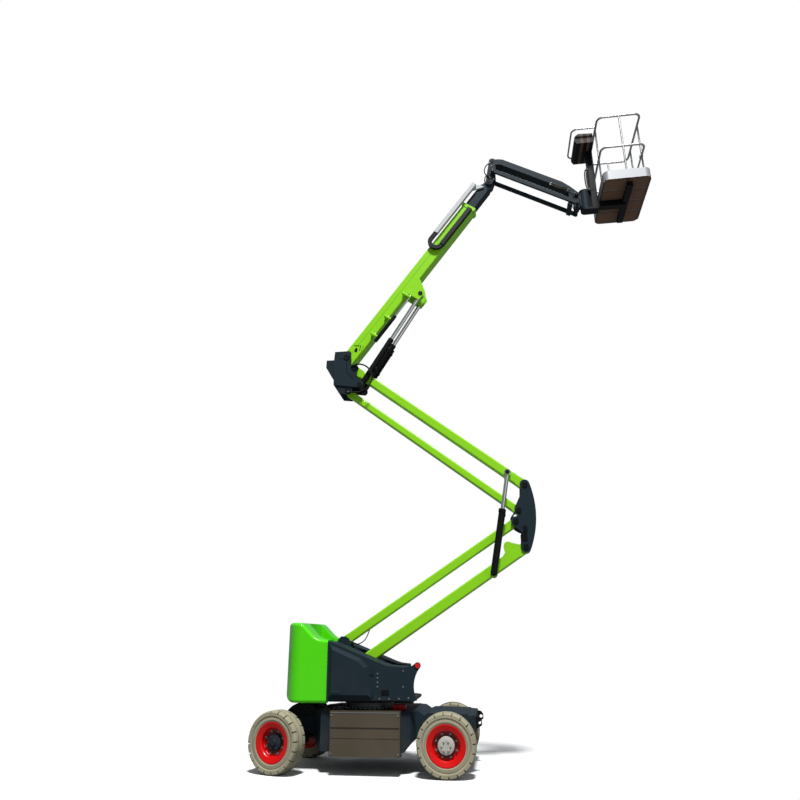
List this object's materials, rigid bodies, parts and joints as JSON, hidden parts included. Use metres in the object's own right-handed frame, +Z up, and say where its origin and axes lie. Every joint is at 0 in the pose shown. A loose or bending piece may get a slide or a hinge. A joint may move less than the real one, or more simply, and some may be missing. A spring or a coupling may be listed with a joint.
{
  "type": "articulating boom lift",
  "caption": "Self-propelled articulating boom lift with a folding riser, telescopic boom, levelling jib and railed work platform on a narrow electric chassis.",
  "frame": {"origin": "on the ground below the slew axis", "axes": "+X from the steered axle to the drive axle and the platform, +Y to the far side, +Z up"},
  "size_m": [5.8506, 1.6726, 9.4669],
  "materials": {
    "lime_paint": "lime green, gloss enamel",
    "slate_paint": "dark slate grey, satin enamel",
    "red_paint": "red, gloss enamel",
    "taupe_paint": "bronze taupe, satin enamel",
    "black_paint": "black, satin enamel",
    "tyre_rubber": "sand beige, matt",
    "bare_steel": "grey, machined",
    "silver_hub": "silver grey, satin",
    "chrome_rod": "silver, polished",
    "silver_rail": "silver, satin",
    "black_plastic": "black, matt",
    "red_lens": "red, gloss"
  },
  "bodies": {
    "chassis": {"chassis_frame": "slate_paint", "battery_boxes": "taupe_paint", "steer_axle": "slate_paint", "drive_axle": "slate_paint", "slew_ring": "bare_steel", "tie_down_lugs": "black_paint", "steer_hood": "black_plastic"},
    "steer_near": {"steer_knuckle_near": "slate_paint"},
    "steer_far": {"steer_knuckle_far": "slate_paint"},
    "wheel_steer_near": {"tyre_steer_near": "tyre_rubber", "rim_steer_near": "red_paint", "hub_steer_near": "slate_paint"},
    "wheel_steer_far": {"tyre_steer_far": "tyre_rubber", "rim_steer_far": "red_paint", "hub_steer_far": "slate_paint"},
    "wheel_drive_near": {"tyre_drive_near": "tyre_rubber", "rim_drive_near": "red_paint", "hub_drive_near": "silver_hub"},
    "wheel_drive_far": {"tyre_drive_far": "tyre_rubber", "rim_drive_far": "red_paint", "hub_drive_far": "silver_hub"},
    "turntable": {"turntable_frame": "slate_paint", "counterweight": "lime_paint", "side_covers": "slate_paint", "power_unit": "black_paint", "marker_lamps": "red_lens"},
    "door_near": {"hood_door_near": "slate_paint"},
    "door_far": {"hood_door_far": "slate_paint"},
    "lower_arm": {"riser_lower_arm": "lime_paint"},
    "lower_link": {"riser_lower_link": "lime_paint"},
    "knuckle": {"riser_knuckle": "slate_paint"},
    "upper_link": {"riser_upper_link": "lime_paint"},
    "upper_arm": {"riser_upper_arm": "lime_paint"},
    "tower_barrels": {"tower_cylinder_barrels": "black_paint"},
    "tower_rods": {"tower_cylinder_rods": "chrome_rod"},
    "upright": {"boom_upright": "slate_paint"},
    "boom": {"boom_base": "lime_paint", "cable_tray": "black_plastic"},
    "fly": {"boom_fly": "slate_paint", "chain_guide": "silver_rail"},
    "chain": {"cable_chain": "black_plastic"},
    "lift_barrels": {"lift_cylinder_barrels": "black_paint"},
    "lift_rods": {"lift_cylinder_rods": "chrome_rod"},
    "nose": {"jib_nose": "slate_paint"},
    "jib": {"jib_arm": "slate_paint"},
    "jib_link_pair": {"jib_links": "slate_paint"},
    "head": {"jib_head": "slate_paint"},
    "platform": {"platform_mount": "black_paint", "platform_floor": "silver_rail", "platform_rails": "silver_rail", "control_console": "black_plastic"},
    "gate": {"platform_gate": "silver_rail"}
  },
  "joints": [
    {"name": "steer_near", "type": "hinge", "parent": "chassis", "child": "steer_near", "pos_m": [-1, -0.47, 0.355], "axis": [0, 0, 1], "range_deg": [-23, 57]},
    {"name": "steer_far", "type": "hinge", "parent": "chassis", "child": "steer_far", "pos_m": [-1, 0.47, 0.355], "axis": [0, 0, 1], "range_deg": [-24, 58]},
    {"name": "spin_steer_near", "type": "hinge", "parent": "steer_near", "child": "wheel_steer_near", "pos_m": [-1.04751, -0.6254, 0.355], "axis": [0.2924, 0.9563, 0], "continuous": true},
    {"name": "spin_steer_far", "type": "hinge", "parent": "steer_far", "child": "wheel_steer_far", "pos_m": [-0.95249, 0.6254, 0.355], "axis": [0.2924, 0.9563, 0], "continuous": true},
    {"name": "spin_drive_near", "type": "hinge", "parent": "chassis", "child": "wheel_drive_near", "pos_m": [1.05, -0.6325, 0.355], "axis": [0, 1, 0], "continuous": true},
    {"name": "spin_drive_far", "type": "hinge", "parent": "chassis", "child": "wheel_drive_far", "pos_m": [1.05, 0.6325, 0.355], "axis": [0, 1, 0], "continuous": true},
    {"name": "slew", "type": "hinge", "parent": "chassis", "child": "turntable", "pos_m": [0, 0, 0.77], "axis": [0, 0, 1], "range_deg": [-175, 175]},
    {"name": "door_near", "type": "hinge", "parent": "turntable", "child": "door_near", "pos_m": [0.155, -0.6586, 1.1], "axis": [0, 0, 1], "range_deg": [0, 100]},
    {"name": "door_far", "type": "hinge", "parent": "turntable", "child": "door_far", "pos_m": [0.155, 0.6586, 1.1], "axis": [0, 0, -1], "range_deg": [0, 100]},
    {"name": "riser_lift", "type": "hinge", "parent": "turntable", "child": "lower_arm", "pos_m": [-0.253, 0, 1.148], "axis": [0, -1, 0], "range_deg": [-33, 27]},
    {"name": "lower_link_turn", "type": "hinge", "parent": "turntable", "child": "lower_link", "pos_m": [-0.365, 0, 1.5], "axis": [0, -1, 0], "range_deg": [-33.5, 27.5]},
    {"name": "knuckle_turn", "type": "hinge", "parent": "lower_arm", "child": "knuckle", "pos_m": [2.16321, 0, 2.71711], "axis": [0, -1, 0], "range_deg": [-27.5, 33.5]},
    {"name": "upper_link_turn", "type": "hinge", "parent": "knuckle", "child": "upper_link", "pos_m": [2.09721, 0, 3.2111], "axis": [0, -1, 0], "range_deg": [-27.5, 33.5]},
    {"name": "upper_arm_turn", "type": "hinge", "parent": "knuckle", "child": "upper_arm", "pos_m": [2.20321, 0, 3.5731], "axis": [0, -1, 0], "range_deg": [-27.5, 33.5]},
    {"name": "upright_turn", "type": "hinge", "parent": "upper_link", "child": "upright", "pos_m": [-0.36903, 0, 5.11723], "axis": [0, -1, 0], "range_deg": [-33.5, 27.5]},
    {"name": "tower_cylinder_turn", "type": "hinge", "parent": "lower_arm", "child": "tower_barrels", "pos_m": [1.70918, 0, 2.37337], "axis": [0, -1, 0], "range_deg": [-21.23, 25.83]},
    {"name": "tower_cylinder_slide", "type": "slide", "parent": "tower_barrels", "child": "tower_rods", "axis": [0.1861, 0, 0.9825], "range_m": [-0.3822, 0.3131]},
    {"name": "boom_lift", "type": "hinge", "parent": "upright", "child": "boom", "pos_m": [-0.38903, 0, 5.66223], "axis": [0, -1, 0], "range_deg": [-50, 22]},
    {"name": "lift_cylinder_turn", "type": "hinge", "parent": "upright", "child": "lift_barrels", "pos_m": [-0.17803, 0, 5.19423], "axis": [0, -1, 0], "range_deg": [-45.88, 20.47]},
    {"name": "lift_cylinder_slide", "type": "slide", "parent": "lift_barrels", "child": "lift_rods", "axis": [0.5322, 0, 0.8466], "range_m": [-0.4159, 0.1841]},
    {"name": "boom_extend", "type": "slide", "parent": "boom", "child": "fly", "axis": [0.6018, 0, 0.7986], "range_m": [0, 1.2]},
    {"name": "chain_travel", "type": "slide", "parent": "boom", "child": "chain", "axis": [0.6018, 0, 0.7986], "range_m": [-0.002, 0.602]},
    {"name": "platform_level", "type": "hinge", "parent": "fly", "child": "nose", "pos_m": [1.96904, 0, 8.77489], "axis": [0, -1, 0], "range_deg": [-22.5, 50.5]},
    {"name": "jib_lift", "type": "hinge", "parent": "nose", "child": "jib", "pos_m": [2.03504, 0, 9.18489], "axis": [0, -1, 0], "range_deg": [-39, 96]},
    {"name": "jib_link_turn", "type": "hinge", "parent": "nose", "child": "jib_link_pair", "pos_m": [2.03504, 0, 8.94489], "axis": [0, -1, 0], "range_deg": [-39.5, 96.5]},
    {"name": "jib_head_turn", "type": "hinge", "parent": "jib", "child": "head", "pos_m": [3.35936, 0, 8.38916], "axis": [0, -1, 0], "range_deg": [-96.5, 39.5]},
    {"name": "platform_rotate", "type": "hinge", "parent": "head", "child": "platform", "pos_m": [3.50006, 0, 8.1492], "axis": [0, 0, 1], "range_deg": [-80, 80]},
    {"name": "entry_bar", "type": "hinge", "parent": "platform", "child": "gate", "pos_m": [4.41306, -0.248, 8.84985], "axis": [1, 0, 0], "range_deg": [0, 60]}
  ],
  "couplings": [
    {"joint": "steer_far", "follows": "steer_near", "ratio": 1},
    {"joint": "lower_link_turn", "follows": "riser_lift", "ratio": 1},
    {"joint": "knuckle_turn", "follows": "riser_lift", "ratio": -1},
    {"joint": "upper_link_turn", "follows": "riser_lift", "ratio": -1},
    {"joint": "upper_arm_turn", "follows": "riser_lift", "ratio": -1},
    {"joint": "upright_turn", "follows": "riser_lift", "ratio": 1},
    {"joint": "tower_cylinder_turn", "follows": "riser_lift", "ratio": -0.7677},
    {"joint": "tower_cylinder_slide", "follows": "riser_lift", "m_per_rad": 0.6602},
    {"joint": "lift_cylinder_turn", "follows": "boom_lift", "ratio": 0.9076},
    {"joint": "lift_cylinder_slide", "follows": "boom_lift", "m_per_rad": 0.4743},
    {"joint": "platform_level", "follows": "boom_lift", "ratio": -1},
    {"joint": "chain_travel", "follows": "boom_extend", "ratio": 0.5},
    {"joint": "jib_link_turn", "follows": "jib_lift", "ratio": 1},
    {"joint": "jib_head_turn", "follows": "jib_lift", "ratio": -1}
  ]
}
